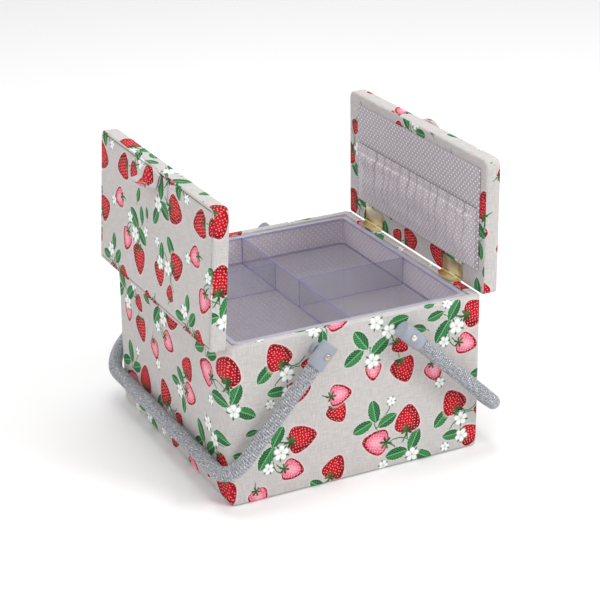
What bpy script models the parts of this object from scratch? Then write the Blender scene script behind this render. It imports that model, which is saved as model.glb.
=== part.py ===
"""Square sewing box: twin hinged lids, two bail handles, a lift-out divided tray.

Metres, +Z up. The origin is at the middle of the underside, +X to the right, -Y to the front.
Both lids stand open and both handles are lowered, which is the rest pose.
"""
import math

import bmesh
import bpy
from mathutils import Matrix, Vector

# ---- driving dimensions ----
WIDTH = 0.260  # outside, left to right and front to back
HEIGHT = 0.156  # underside to rim
WALL = 0.008
BASE = 0.006
EDGE_ROUND = 0.003
GAP = 0.0003  # between pieces that rest on each other

LINING = 0.005
LINING_DROP = 0.0033  # lining boards stop below the rim, as a ledge for the tray
LINING_FLOOR = 0.003

TRAY_DEPTH = 0.030
TRAY_SKIN = 0.0015
TRAY_LIP = 0.002
TRAY_CLEARANCE = 0.0007
LIP_CLEARANCE = 0.0015
TRAY_CORNER = 0.006
DIVIDER_X = -0.001
RIGHT_DIVIDER_Y = -0.011
LEFT_DIVIDER_Y = 0.036

HINGE_RISE = 0.0013  # rim to hinge axis, and hinge axis to the lid's inner face
HINGE_Y = 0.076
HINGE_LENGTH = 0.034
HINGE_LEAF = 0.0008
RIM_LEAF_REACH = 0.0095
LID_LEAF_REACH = 0.0155
KNUCKLE_RADIUS = 0.0016
PIN_BORE = 0.0009
PIN_RADIUS = 0.00082
KNUCKLE_GAP = 0.0004

LID_LENGTH = 0.1285  # hinge edge to free edge
LID_THICKNESS = 0.0151
LID_BOARD = 0.008
LID_ROUND = 0.0035
LEFT_LID_LEAN = math.radians(3.5)  # the left lid stands a little short of upright
CARD = 0.0012
CARD_FROM_HINGE = 0.019
CARD_FROM_FREE = 0.0095
CARD_FRONT = -0.1205
CARD_BACK = 0.1105
POCKET = 0.0014
POCKET_HEIGHT = 0.061
POCKET_INSET = 0.004
TAB_WIDTH = 0.036
TAB_LENGTH = 0.020
TAB_THICKNESS = 0.0022
TAB_DROOP = math.radians(32)  # between the tab and the lid's outer face

PIVOT_X = 0.044
PIVOT_Z = 0.1396
BAIL_RADIUS = 0.0068
BAIL_BEND = 0.027
BAR_CLEARANCE = 0.0025  # lowered bar to the side of the box
BAR_Z = 0.034  # lowered bar's height
RIGHT_RAISE = math.radians(4)  # the right handle rests a little above its lowest place
CAP_RADIUS = 0.0082
CAP_BEHIND = 0.011  # cap's length on each side of the pivot
CAP_AHEAD = 0.014
SOCKET_RADIUS = 0.0072
SOCKET_START = 0.005
WASHER = 0.0063  # holds the cap clear of the wall
WASHER_RADIUS = 0.006
BOLT_RADIUS = 0.0020
BOLT_HOLE = 0.0023
HEAD_RADIUS = 0.0028
HEAD_HEIGHT = 0.0016
NUT_RADIUS = 0.0045
NUT = 0.0025
NUT_POCKET_RADIUS = 0.0055
NUT_POCKET = 0.0034

HALF = WIDTH / 2
INNER = HALF - WALL
LINED = INNER - GAP - LINING
AXIS_Z = HEIGHT + HINGE_RISE
LEDGE_Z = HEIGHT - LINING_DROP
LIP_TOP = LEDGE_Z + GAP + TRAY_LIP
TRAY_FLOOR = LIP_TOP - TRAY_DEPTH
TUB = LINED - TRAY_CLEARANCE
TUB_INSIDE = TUB - TRAY_SKIN
CAP_Y = HALF + GAP + WASHER + GAP + CAP_RADIUS
SIDES = {"left": -1, "right": 1}
ENDS = {"front": -1, "back": 1}


# ---- scene and materials ----
def start_scene():
    for item in list(bpy.data.objects):
        bpy.data.objects.remove(item, do_unlink=True)
    made = []
    for name in ("sewing_box", "cutters"):
        collection = bpy.data.collections.new(name)
        bpy.context.scene.collection.children.link(collection)
        made.append(collection)
    return made


MODEL, CUTTERS = start_scene()


def material(name, color, roughness, metallic=0.0, alpha=1.0):
    made = bpy.data.materials.new(name)
    made.use_nodes = True
    shader = made.node_tree.nodes["Principled BSDF"]
    shader.inputs["Base Color"].default_value = (*color, 1.0)
    shader.inputs["Roughness"].default_value = roughness
    shader.inputs["Metallic"].default_value = metallic
    shader.inputs["Alpha"].default_value = alpha
    return made


PRINT_CLOTH = material("print_cloth", (0.62, 0.59, 0.56), 0.9)
DOTTED_CLOTH = material("dotted_cloth", (0.34, 0.31, 0.33), 0.9)
BOARD = material("board", (0.52, 0.47, 0.40), 0.85)
BRASS = material("brass", (0.80, 0.58, 0.25), 0.3, metallic=1.0)
STEEL = material("steel", (0.75, 0.75, 0.74), 0.3, metallic=1.0)
GREY_PLASTIC = material("grey_plastic", (0.42, 0.43, 0.46), 0.45)
GREY_CORD = material("grey_cord", (0.50, 0.51, 0.53), 0.7)
CLEAR_PLASTIC = material("clear_plastic", (0.62, 0.62, 0.78), 0.1, alpha=0.4)


# ---- building blocks ----
def add_object(name, mesh, look, collection=None, parent=None):
    made = bpy.data.objects.new(name, mesh)
    (collection or MODEL).objects.link(made)
    if look:
        mesh.materials.append(look)
    made.parent = parent
    return made


def box_mesh(low, high, edge_round=0.0, segments=3, upright_only=False):
    """A box between two corners, with its edges (or its upright edges only) rounded."""
    low, high = Vector(low), Vector(high)
    shape = bmesh.new()
    bmesh.ops.create_cube(shape, size=1.0)
    size, middle = high - low, (high + low) / 2
    for vertex in shape.verts:
        vertex.co = Vector(c * s for c, s in zip(vertex.co, size)) + middle
    if edge_round:
        edges = [e for e in shape.edges
                 if not upright_only or abs((e.verts[0].co - e.verts[1].co).z) > size.z / 2]
        bmesh.ops.bevel(shape, geom=edges, offset=edge_round, segments=segments, profile=0.5,
                        affect="EDGES")
    return finish_mesh(shape)


def rod_mesh(start, end, radius, sides=24):
    """A cylinder between two points."""
    start, end = Vector(start), Vector(end)
    shape = bmesh.new()
    bmesh.ops.create_cone(shape, cap_ends=True, segments=sides, radius1=radius, radius2=radius,
                          depth=(end - start).length)
    turn = (end - start).to_track_quat("Z", "Y").to_matrix()
    for vertex in shape.verts:
        vertex.co = turn @ vertex.co + (start + end) / 2
    return finish_mesh(shape)


def joined_mesh(meshes):
    """Several separate bodies as one mesh."""
    shape = bmesh.new()
    for mesh in meshes:
        shape.from_mesh(mesh)
    return finish_mesh(shape)


def finish_mesh(shape):
    mesh = bpy.data.meshes.new("shape")
    shape.to_mesh(mesh)
    shape.free()
    mesh.shade_smooth()
    mesh.set_sharp_from_angle(angle=math.radians(35))
    return mesh


def combine(target, mesh, operation="DIFFERENCE"):
    """A Boolean with a hidden cutter that rides on the target's parent."""
    cutter = add_object(target.name + "_cutter", mesh, None, CUTTERS, target.parent)
    cutter.hide_render = True
    cutter.display_type = "WIRE"
    boolean = target.modifiers.new(operation.lower(), "BOOLEAN")
    boolean.operation = operation
    boolean.solver = "EXACT"
    boolean.object = cutter
    return target


def axis_empty(name, location, lean=0.0):
    made = bpy.data.objects.new(name, None)
    MODEL.objects.link(made)
    made.location = location
    made.rotation_euler.y = lean
    return made


# ---- body ----
def wall(name, low, high, with_pivots=0):
    """One board of the body: a region of the rounded outer block."""
    block = box_mesh((-HALF, -HALF, 0), (HALF, HALF, HEIGHT), EDGE_ROUND)
    made = add_object(name, block, PRINT_CLOTH)
    combine(made, box_mesh(low, high), "INTERSECT")
    if with_pivots:
        bores = [rod_mesh((side * PIVOT_X, with_pivots * (INNER - WALL), PIVOT_Z),
                          (side * PIVOT_X, with_pivots * (HALF + WALL), PIVOT_Z), BOLT_HOLE, 16)
                 for side in SIDES.values()]
        combine(made, joined_mesh(bores))
        pockets = [rod_mesh((side * PIVOT_X, with_pivots * (INNER - WALL), PIVOT_Z),
                            (side * PIVOT_X, with_pivots * (INNER + NUT_POCKET), PIVOT_Z),
                            NUT_POCKET_RADIUS)
                   for side in SIDES.values()]
        combine(made, joined_mesh(pockets))


def build_body():
    beyond = HALF + WALL
    between = INNER - GAP
    wall("front_wall", (-beyond, -beyond, -WALL), (beyond, -INNER, beyond * 2), ENDS["front"])
    wall("back_wall", (-beyond, INNER, -WALL), (beyond, beyond, beyond * 2), ENDS["back"])
    wall("left_wall", (-beyond, -between, -WALL), (-INNER, between, beyond * 2))
    wall("right_wall", (INNER, -between, -WALL), (beyond, between, beyond * 2))
    add_object("base_board", box_mesh((-between, -between, 0), (between, between, BASE)), BOARD)


def build_lining():
    bottom = BASE + GAP
    outer = INNER - GAP
    for name, end in ENDS.items():
        faces = sorted((end * LINED, end * outer))
        add_object(f"{name}_lining",
                   box_mesh((-outer, faces[0], bottom), (outer, faces[1], LEDGE_Z)), DOTTED_CLOTH)
    for name, side in SIDES.items():
        faces = sorted((side * LINED, side * outer))
        add_object(f"{name}_lining",
                   box_mesh((faces[0], GAP - LINED, bottom), (faces[1], LINED - GAP, LEDGE_Z)),
                   DOTTED_CLOTH)
    inside = LINED - GAP
    add_object("floor_lining",
               box_mesh((-inside, -inside, bottom), (inside, inside, bottom + LINING_FLOOR)),
               DOTTED_CLOTH)


# ---- tray ----
def build_tray():
    tub = box_mesh((-TUB, -TUB, TRAY_FLOOR), (TUB, TUB, LIP_TOP), TRAY_CORNER,
                   upright_only=True)
    tray = add_object("tray", tub, CLEAR_PLASTIC)
    lip = INNER - LIP_CLEARANCE
    combine(tray, box_mesh((-lip, -lip, LIP_TOP - TRAY_LIP), (lip, lip, LIP_TOP), TRAY_CORNER,
                           upright_only=True), "UNION")
    combine(tray, box_mesh((-TUB_INSIDE, -TUB_INSIDE, TRAY_FLOOR + TRAY_SKIN),
                           (TUB_INSIDE, TUB_INSIDE, LIP_TOP + TRAY_LIP),
                           TRAY_CORNER - TRAY_SKIN, upright_only=True))
    low, high = TRAY_FLOOR + TRAY_SKIN + GAP, LIP_TOP - GAP
    half = TRAY_SKIN / 2
    end = TUB_INSIDE - GAP
    add_object("tray_divider_long",
               box_mesh((DIVIDER_X - half, -end, low), (DIVIDER_X + half, end, high)),
               CLEAR_PLASTIC)
    add_object("tray_divider_right",
               box_mesh((DIVIDER_X + half + GAP, RIGHT_DIVIDER_Y - half, low),
                        (end, RIGHT_DIVIDER_Y + half, high)), CLEAR_PLASTIC)
    add_object("tray_divider_left",
               box_mesh((-end, LEFT_DIVIDER_Y - half, low),
                        (DIVIDER_X - half - GAP, LEFT_DIVIDER_Y + half, high)), CLEAR_PLASTIC)


# ---- lids and their hinges, in the frame of each hinge axis ----
# x is away from the box (times side), z from the hinge edge to the free edge.
def lid_box(side, away, y, along, **rounding):
    """A box from ranges away from the box, front to back, and from hinge to free edge."""
    x = sorted(side * a for a in away)
    return box_mesh((x[0], y[0], along[0]), (x[1], y[1], along[1]), **rounding)


def hinge_spans(end):
    """The y ranges of a hinge's three knuckles, and the whole length."""
    low = end * HINGE_Y - HINGE_LENGTH / 2
    third = HINGE_LENGTH / 3
    spans = [(low + i * third + KNUCKLE_GAP / 2, low + (i + 1) * third - KNUCKLE_GAP / 2)
             for i in range(3)]
    return spans, (low, low + HINGE_LENGTH)


def leaf(name, side, end, axis, on_lid):
    """Half a butt hinge: plate, necks and knuckles, bored for the pin."""
    spans, whole = hinge_spans(end)
    own = spans[1:2] if on_lid else spans[::2]
    clear = KNUCKLE_RADIUS + GAP * 2
    reach = LID_LEAF_REACH if on_lid else RIM_LEAF_REACH
    near = HINGE_RISE - GAP - HINGE_LEAF
    far = HINGE_RISE - GAP

    def plate(y, start, stop):
        if on_lid:
            return lid_box(side, (near, far), y, (start, stop))
        return lid_box(side, (-stop, -start), y, (-far, -near))

    made = add_object(name, plate(whole, clear, reach), BRASS, parent=axis)
    necks = [plate(y, 0.0, clear + HINGE_LEAF) for y in own]
    for neck in necks:
        combine(made, neck, "UNION")
    for y in own:
        combine(made, rod_mesh((0, y[0], 0), (0, y[1], 0), KNUCKLE_RADIUS, 16), "UNION")
    combine(made, rod_mesh((0, whole[0] - GAP, 0), (0, whole[1] + GAP, 0), PIN_BORE, 16))


def build_hinges(name, side, rim_axis, lid_axis):
    for end_name, end in ENDS.items():
        leaf(f"{name}_{end_name}_rim_leaf", side, end, rim_axis, on_lid=False)
        leaf(f"{name}_{end_name}_lid_leaf", side, end, lid_axis, on_lid=True)
        low, high = hinge_spans(end)[1]
        add_object(f"{name}_{end_name}_hinge_pin",
                   rod_mesh((0, low, 0), (0, high, 0), PIN_RADIUS, 16), BRASS, parent=rim_axis)


def lid_layer(name, side, axis, away, look):
    """One layer of the lid's rounded block."""
    block = lid_box(side, (HINGE_RISE, HINGE_RISE + LID_THICKNESS), (-HALF, HALF),
                    (0, LID_LENGTH), edge_round=LID_ROUND)
    made = add_object(name, block, look, parent=axis)
    combine(made, lid_box(side, away, (-WIDTH, WIDTH), (-WIDTH, WIDTH)), "INTERSECT")


def build_tab(name, side, axis):
    """The pull tab hangs off the free edge and droops over the outer face."""
    tab = add_object(name, lid_box(side, (0, TAB_THICKNESS), (-TAB_WIDTH / 2, TAB_WIDTH / 2),
                                   (-TAB_LENGTH, 0)), PRINT_CLOTH, parent=axis)
    tab.location = (side * (HINGE_RISE + LID_THICKNESS + GAP * 2), 0, LID_LENGTH - LID_ROUND)
    tab.rotation_euler.y = -side * TAB_DROOP


def build_lid(name, side, lean):
    rim_axis = axis_empty(f"{name}_hinge_axis", (side * HALF, 0, AXIS_Z))
    lid_axis = axis_empty(f"{name}_lid_axis", (side * HALF, 0, AXIS_Z), lean)
    build_hinges(name, side, rim_axis, lid_axis)
    board = HINGE_RISE + LID_BOARD
    lid_layer(f"{name}_lid_board", side, lid_axis, (-HALF, board), BOARD)
    lid_layer(f"{name}_lid_padding", side, lid_axis, (board + GAP, HALF), PRINT_CLOTH)
    card_face = HINGE_RISE - GAP - CARD
    card_top = LID_LENGTH - CARD_FROM_FREE
    add_object(f"{name}_lid_lining",
               lid_box(side, (card_face, HINGE_RISE - GAP), (CARD_FRONT, CARD_BACK),
                       (CARD_FROM_HINGE, card_top)), DOTTED_CLOTH, parent=lid_axis)
    add_object(f"{name}_lid_pocket",
               lid_box(side, (card_face - GAP - POCKET, card_face - GAP),
                       (CARD_FRONT + POCKET_INSET, CARD_BACK - POCKET_INSET),
                       (CARD_FROM_HINGE + GAP, CARD_FROM_HINGE + POCKET_HEIGHT)),
               DOTTED_CLOTH, parent=lid_axis)
    build_tab(f"{name}_lid_tab", side, lid_axis)


# ---- handles ----
def arm_direction(side):
    """From the pivot towards the lowered bar, and the distance between them."""
    bar = Vector((HALF + BAR_CLEARANCE + BAIL_RADIUS - PIVOT_X, 0, BAR_Z - PIVOT_Z))
    if side > 0:
        bar.rotate(Matrix.Rotation(-RIGHT_RAISE, 3, "Y"))
    length = bar.length
    bar.x *= side
    return bar / length, length


def bail_points(side):
    """Centre line, from the front socket round both bends to the back socket."""
    along, length = arm_direction(side)
    steps = 8
    half = [along * (SOCKET_START + GAP) + Vector((0, -CAP_Y, 0))]
    for step in range(steps + 1):
        angle = math.pi / 2 * step / steps
        reach = length - BAIL_BEND + BAIL_BEND * math.sin(angle)
        y = -CAP_Y + BAIL_BEND * (1 - math.cos(angle))
        half.append(along * reach + Vector((0, y, 0)))
    return half + [Vector((p.x, -p.y, p.z)) for p in reversed(half)]


def build_bail(name, side, axis):
    curve = bpy.data.curves.new(name, "CURVE")
    curve.dimensions = "3D"
    curve.bevel_depth = BAIL_RADIUS
    curve.bevel_resolution = 3
    curve.use_fill_caps = True
    points = bail_points(side)
    spline = curve.splines.new("POLY")
    spline.points.add(len(points) - 1)
    for target, point in zip(spline.points, points):
        target.co = (*point, 1.0)
    add_object(name, curve, GREY_CORD, parent=axis)


def build_cap(name, side, end, axis):
    along, _ = arm_direction(side)
    middle = Vector((0, end * CAP_Y, 0))
    cap = add_object(name, rod_mesh(middle - along * CAP_BEHIND, middle + along * CAP_AHEAD,
                                    CAP_RADIUS), GREY_PLASTIC, parent=axis)
    combine(cap, rod_mesh(middle + along * SOCKET_START, middle + along * (CAP_AHEAD + WALL),
                          SOCKET_RADIUS))
    combine(cap, rod_mesh((0, end * HALF, 0), (0, end * (CAP_Y + WALL * 2), 0), BOLT_HOLE, 16))


def pivot_rod(side, end, start, stop, radius, sides=24):
    """A cylinder on a handle's pivot line, between two distances from the middle of the box."""
    return rod_mesh((side * PIVOT_X, end * start, PIVOT_Z), (side * PIVOT_X, end * stop, PIVOT_Z),
                    radius, sides)


def build_pivots():
    """Bolts through cap and wall, a washer behind each cap, a nut in each wall's pocket."""
    head = CAP_Y + CAP_RADIUS + GAP
    nut_start = INNER + (NUT_POCKET - NUT) / 2
    for side_name, side in SIDES.items():
        for end_name, end in ENDS.items():
            bolt = add_object(f"{side_name}_{end_name}_pivot_bolt",
                              pivot_rod(side, end, nut_start, head + GAP, BOLT_RADIUS, 16), STEEL)
            combine(bolt, pivot_rod(side, end, head, head + HEAD_HEIGHT, HEAD_RADIUS), "UNION")
            for name, start, depth, radius in (("washer", HALF + GAP, WASHER, WASHER_RADIUS),
                                               ("nut", nut_start, NUT, NUT_RADIUS)):
                ring = add_object(f"{side_name}_{end_name}_pivot_{name}",
                                  pivot_rod(side, end, start, start + depth, radius), STEEL)
                combine(ring, pivot_rod(side, end, start - WALL, start + WALL, BOLT_HOLE, 16))


def build_handle(name, side):
    axis = axis_empty(f"{name}_handle_axis", (side * PIVOT_X, 0, PIVOT_Z))
    build_bail(f"{name}_handle_bail", side, axis)
    for end_name, end in ENDS.items():
        build_cap(f"{name}_handle_{end_name}_cap", side, end, axis)


def main():
    build_body()
    build_lining()
    build_tray()
    for name, side in SIDES.items():
        build_lid(name, side, LEFT_LID_LEAN if name == "left" else 0.0)
        build_handle(name, side)
    build_pivots()
    bpy.context.view_layer.update()


main()
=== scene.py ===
"""The looks of the sewing box: cloth cover, padded lids, gathered pockets, clear tray, corded handles.

Metres, in the CAD's frame: +Z up, -Y to the front, origin at the middle of the underside.
"""
import math

import bmesh
import bpy
from mathutils import Matrix, Vector, noise


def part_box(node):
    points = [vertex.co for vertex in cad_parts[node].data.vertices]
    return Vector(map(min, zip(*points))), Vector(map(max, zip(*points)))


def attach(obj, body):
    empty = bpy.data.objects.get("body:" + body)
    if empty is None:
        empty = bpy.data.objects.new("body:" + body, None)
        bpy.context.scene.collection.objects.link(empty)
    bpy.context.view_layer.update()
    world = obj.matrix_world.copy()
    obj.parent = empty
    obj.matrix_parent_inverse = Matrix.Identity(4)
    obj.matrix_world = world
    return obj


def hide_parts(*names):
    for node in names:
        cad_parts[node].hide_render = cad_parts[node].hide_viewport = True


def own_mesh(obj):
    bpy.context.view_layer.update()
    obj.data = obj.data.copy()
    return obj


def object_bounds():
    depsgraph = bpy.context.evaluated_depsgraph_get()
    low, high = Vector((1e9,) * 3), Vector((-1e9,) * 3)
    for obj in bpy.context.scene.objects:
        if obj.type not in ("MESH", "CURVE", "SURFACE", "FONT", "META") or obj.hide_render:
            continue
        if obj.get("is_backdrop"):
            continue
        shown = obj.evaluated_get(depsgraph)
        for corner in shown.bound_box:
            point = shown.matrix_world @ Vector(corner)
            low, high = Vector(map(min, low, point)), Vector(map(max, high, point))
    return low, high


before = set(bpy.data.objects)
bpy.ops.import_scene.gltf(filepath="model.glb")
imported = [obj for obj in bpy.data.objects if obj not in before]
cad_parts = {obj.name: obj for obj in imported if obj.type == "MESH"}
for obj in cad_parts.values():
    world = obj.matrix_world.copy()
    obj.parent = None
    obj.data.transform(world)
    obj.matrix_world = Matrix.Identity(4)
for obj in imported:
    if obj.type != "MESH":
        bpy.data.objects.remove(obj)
CAD_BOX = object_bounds()

MM = 0.001
SIDES = {"left": -1, "right": 1}
ENDS = {"front": -1, "back": 1}

# ---- sizes, as in part.py or read from the CAD nodes ----
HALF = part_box("right_wall")[1][0]
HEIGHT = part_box("right_wall")[1][2]
WALL = 0.008
EDGE_ROUND = 0.003
HINGE_RISE = 0.0013
AXIS_Z = HEIGHT + HINGE_RISE
GAP = 0.0003
LID_LENGTH = 0.1285
LID_THICKNESS = 0.0151
LEAN = {"left": math.radians(3.5), "right": 0.0}
CARD = (-0.1205, 0.1105, 0.019, 0.119)  # front, back, and from hinge: start and end
CARD_FACE = HINGE_RISE - GAP - 0.0012
POCKET_HEIGHT = 0.061
POCKET_INSET = 0.004
HEM_HEIGHT = 0.0085
TAB_WIDTH = 0.036
TAB_LENGTH = 0.0235  # folded
HINGE_Y = 0.076
HINGE_LENGTH = 0.034
LEAF_THICK = 0.0008
KNUCKLE_RADIUS = 0.0016
PIVOT_X = 0.044
PIVOT_Z = 0.1396
CAP_RADIUS = 0.0082
CAP_Y = HALF + 0.0069 + CAP_RADIUS
BAIL_RADIUS = 0.0068
BAIL_BEND = 0.027
BAR_X = HALF + 0.0025 + BAIL_RADIUS
BAR_Z = 0.034
CORD_PITCH_MM = 2.4
RAISE = {"left": 0.0, "right": math.radians(4)}
RIM_ROUND = 0.0018
CORNER_ROUND = 0.006
LID_OVERHANG = 0.0022  # the cover hangs this far below the hinge line
CREASE_INSET = 0.0032  # where the outer panel's cloth is turned in, from the edge
CREASE_DEPTH = 0.0014
LID_CROWN = 0.0012
LIP_HALF = 0.1205
TUB_HALF = 0.1160
TUB_INSIDE_HALF = 0.1145
LIP_TOP = 0.1550
TRAY_FLOOR = 0.1250


# ---- shader graph helper ----
class Graph:
    """Builds a material's node tree: every call adds one node and returns its output."""

    def __init__(self, name):
        self.material = bpy.data.materials.new(name)
        self.material.use_nodes = True
        self.tree = self.material.node_tree
        self.shader = self.tree.nodes["Principled BSDF"]

    def add(self, kind, *inputs, **settings):
        node = self.tree.nodes.new("ShaderNode" + kind)
        for key, value in settings.items():
            setattr(node, key, value)
        for key, value in enumerate(inputs):
            self.feed(node.inputs[key], value)
        return node

    def feed(self, socket, value):
        if value is None:
            return
        if isinstance(value, bpy.types.NodeSocket):
            self.tree.links.new(value, socket)
        elif socket.type == "RGBA" and len(value) == 3:
            socket.default_value = (*value, 1.0)
        else:
            socket.default_value = value

    def math(self, operation, a, b=None, c=None, clamp=False):
        return self.add("Math", a, b, c, operation=operation, use_clamp=clamp).outputs[0]

    def times(self, a, b):
        return self.math("MULTIPLY", a, b)

    def times_plus(self, a, b, c):
        return self.math("MULTIPLY_ADD", a, b, c)

    def plus(self, a, b):
        return self.math("ADD", a, b)

    def minus(self, a, b):
        return self.math("SUBTRACT", a, b)

    def power(self, a, b):
        return self.math("POWER", a, b)

    def absolute(self, a):
        return self.math("ABSOLUTE", a)

    def vector(self, operation, a, b=None, scale=None):
        node = self.add("VectorMath", a, b, operation=operation)
        if scale is not None:
            self.feed(node.inputs["Scale"], scale)
        return node.outputs["Value" if operation in ("LENGTH", "DISTANCE", "DOT_PRODUCT") else 0]

    def split(self, value):
        return self.add("SeparateXYZ", value).outputs

    def join(self, x=0.0, y=0.0, z=0.0):
        return self.add("CombineXYZ", x, y, z).outputs[0]

    def step(self, value, low, high):
        """0 up to low, 1 from high, smooth between; also falling, if low is above high."""
        start, end = (0.0, 1.0) if low < high else (1.0, 0.0)
        node = self.add("MapRange", value, min(low, high), max(low, high), start, end,
                        interpolation_type="SMOOTHSTEP")
        return node.outputs[0]

    def mix(self, factor, a, b, blend="MIX"):
        node = self.add("Mix", data_type="RGBA", blend_type=blend)
        for key, value in ((0, factor), (6, a), (7, b)):
            self.feed(node.inputs[key], value)
        return node.outputs[2]

    def mix_vector(self, factor, a, b):
        node = self.add("Mix", data_type="VECTOR")
        for key, value in ((0, factor), (4, a), (5, b)):
            self.feed(node.inputs[key], value)
        return node.outputs[1]

    def noise(self, where, scale, detail=2.0):
        node = self.add("TexNoise")
        self.feed(node.inputs["Vector"], where)
        node.inputs["Scale"].default_value = scale
        node.inputs["Detail"].default_value = detail
        return node.outputs[0]

    def uv_mm(self):
        node = self.add("UVMap", uv_map="cloth")
        return self.vector("SCALE", node.outputs[0], scale=1000.0)

    def object_mm(self):
        node = self.add("TexCoord")
        return self.vector("SCALE", node.outputs["Object"], scale=1000.0)

    def crease(self):
        """How far each point lies in a crease, as the mesh says, for painting shade there; 0 on a mesh
        that doesn't.
        """
        return self.add("Attribute", attribute_name="crease").outputs["Fac"]

    def bump(self, height, depth, strength=1.0):
        node = self.add("Bump")
        node.inputs["Strength"].default_value = strength
        node.inputs["Distance"].default_value = depth
        self.feed(node.inputs["Height"], height)
        self.feed(self.shader.inputs["Normal"], node.outputs[0])

    def finish(self, color, roughness, **constants):
        self.feed(self.shader.inputs["Base Color"], color)
        self.feed(self.shader.inputs["Roughness"], roughness)
        for key, value in constants.items():
            self.shader.inputs[key.replace("_", " ")].default_value = value
        return self.material


def rgb(code):
    """A colour from its usual six-digit code, as linear light."""
    parts = [int(code[i:i + 2], 16) / 255 for i in (0, 2, 4)]
    return tuple(p / 12.92 if p <= 0.04045 else ((p + 0.055) / 1.055) ** 2.4 for p in parts)


# ---- the print: motifs in millimetres of cloth, with the direction that each points in ----
REPEAT_U, REPEAT_V, DROP = 183.0, 174.0, 87.0
BERRIES = [  # u, v, direction in degrees, half length
    (231, 53, 118, 13.5), (252, 14, 10, 12), (72, 53, 5, 14.5), (108, 70, -60, 11),
    (105, 15, 60, 12.5), (174, 123, -40, 9), (177, 98, -70, 13.5), (182, 47, 85, 14.5),
    (262, 38, 170, 8),
]
HALVES = [
    (62, 23, -20, 11.5), (111, 88, 0, 11.5), (110, -11, 0, 12), (145, 103, -90, 9),
    (210, 89, -70, 10.5), (147, 30, 165, 14),
]
LEAVES = [
    (219, 38, 225, 11.5), (230, 18, 180, 10), (35, 41, 235, 13), (47, 60, 60, 11),
    (27, 58, 195, 9), (21, 70, 190, 6), (87, 0, 140, 10), (75, -10, 180, 9),
    (93, -28, -90, 9), (132, 137, 125, 12), (152, 127, 40, 12), (125, 121, 215, 12),
    (171, 148, 10, 11), (146, 62, 100, 12), (134, 48, 200, 11), (160, 50, 25, 11),
    (170, 13, 185, 12), (189, 23, 65, 12), (199, 4, -30, 11), (193, 136, 160, 8),
]
FLOWERS = [
    (240, 33, 20, 8.5), (241, 15, 60, 8), (50, 43, 10, 9), (37, 30, 40, 6.5),
    (85, -17, 0, 8), (144, 114, 30, 9), (148, 151, 0, 8.5), (161, 140, 50, 8.5),
    (187, 8, 15, 8.5), (156, 4, 70, 6),
]
BUDS = [(223, 7, 10, 5.5), (216, 76, 40, 6), (164, 69, 30, 5.5), (40, 68, 60, 6)]
STEMS = [  # from u, v to u, v, and how far the middle bows out
    (224, 44, 245, 40, 4), (240, 42, 258, 47, -4), (245, 38, 262, 30, 4), (228, 24, 240, 33, 2),
    (40, 50, 58, 50, 3), (42, 38, 50, 22, -3), (36, 58, 44, 46, 2),
    (92, -6, 104, 3, -2), (96, -14, 92, -34, 3),
    (138, 130, 165, 128, -4), (160, 128, 172, 112, 3), (142, 128, 146, 112, -2),
    (162, 132, 176, 142, 2), (150, 42, 146, 52, 1), (150, 52, 163, 66, -3),
    (182, 33, 186, 16, -2), (160, 26, 184, 24, 4), (168, 12, 190, 14, -3),
]


def spread(motifs, reach):
    """Every copy of the motifs that touches one cell of the half-drop repeat."""
    copies = []
    for u, v, *rest in motifs:
        for across in range(-3, 3):
            for along in range(-4, 5):
                cu = u + across * REPEAT_U
                cv = v + across * DROP + along * REPEAT_V
                if -reach < cu < REPEAT_U + reach and -reach < cv < REPEAT_V + reach:
                    copies.append((cu, cv, *rest))
    return copies


def cell(g, uv):
    """The cloth's own place, folded into one cell of the repeat."""
    u, v, _ = g.split(uv)
    column = g.math("FLOOR", g.math("DIVIDE", u, REPEAT_U))
    return g.join(g.times_plus(column, -REPEAT_U, u),
                  g.math("FLOORED_MODULO", g.times_plus(column, -DROP, v), REPEAT_V))


def nearest(g, where, motifs):
    """The frame of the nearest motif: x towards its tip and y across in half lengths, and its size."""
    best, data = 1000.0, (0.0, 0.0, 0.0)
    for u, v, degrees, size in spread(motifs, 20):
        gap = g.vector("DISTANCE", where, (u, v, 0.0))
        code = math.radians(degrees % 360) + round(size * 2) * 10.0
        data = g.mix_vector(g.math("LESS_THAN", gap, best), data, (u, v, code))
        best = g.math("MINIMUM", gap, best)
    u, v, code = g.split(data)
    double = g.math("FLOOR", g.times(code, 0.1))
    size = g.times(double, 0.5)
    angle = g.times_plus(double, -10.0, code)
    offset = g.vector("SUBTRACT", where, g.join(u, v))
    turn = g.add("VectorRotate", rotation_type="Z_AXIS")
    g.feed(turn.inputs["Vector"], offset)
    g.feed(turn.inputs["Angle"], g.times(angle, -1.0))
    scaled = g.vector("DIVIDE", turn.outputs[0], g.join(size, size, 1.0))
    return scaled, size


def polar(g, x, y):
    """Distance from a point and angle round it."""
    return (g.math("SQRT", g.times_plus(x, x, g.times(y, y))), g.math("ARCTAN2", y, x))


def egg(g, x, y):
    """0 in the middle of a berry, 1 on its outline: blunt at the stalk, narrow at the tip."""
    power = g.times_plus(g.math("LESS_THAN", x, 0.0), 1.3, 1.8)
    along = g.power(g.absolute(x), power)
    width = g.times_plus(x, -0.30, 0.86)
    across = g.power(g.math("DIVIDE", y, width), 2.0)
    return g.math("SQRT", g.plus(along, across))


def calyx(g, x, y):
    """The green leaves and stalk at a berry's blunt end, as a mask."""
    radius, angle = polar(g, g.plus(x, 0.84), y)
    points = g.absolute(g.math("COSINE", g.times(angle, 3.0)))
    reach = g.times_plus(g.power(points, 1.6), 0.36, 0.12)
    leaves = g.step(g.minus(radius, reach), 0.03, -0.03)
    bow = g.times_plus(g.power(g.plus(x, 0.8), 2.0), -0.35, y)
    stalk = g.times(g.step(g.absolute(bow), 0.075, 0.03),
                    g.times(g.step(x, -0.8, -0.9), g.step(x, -1.75, -1.6)))
    return g.math("MAXIMUM", leaves, stalk)


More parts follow.
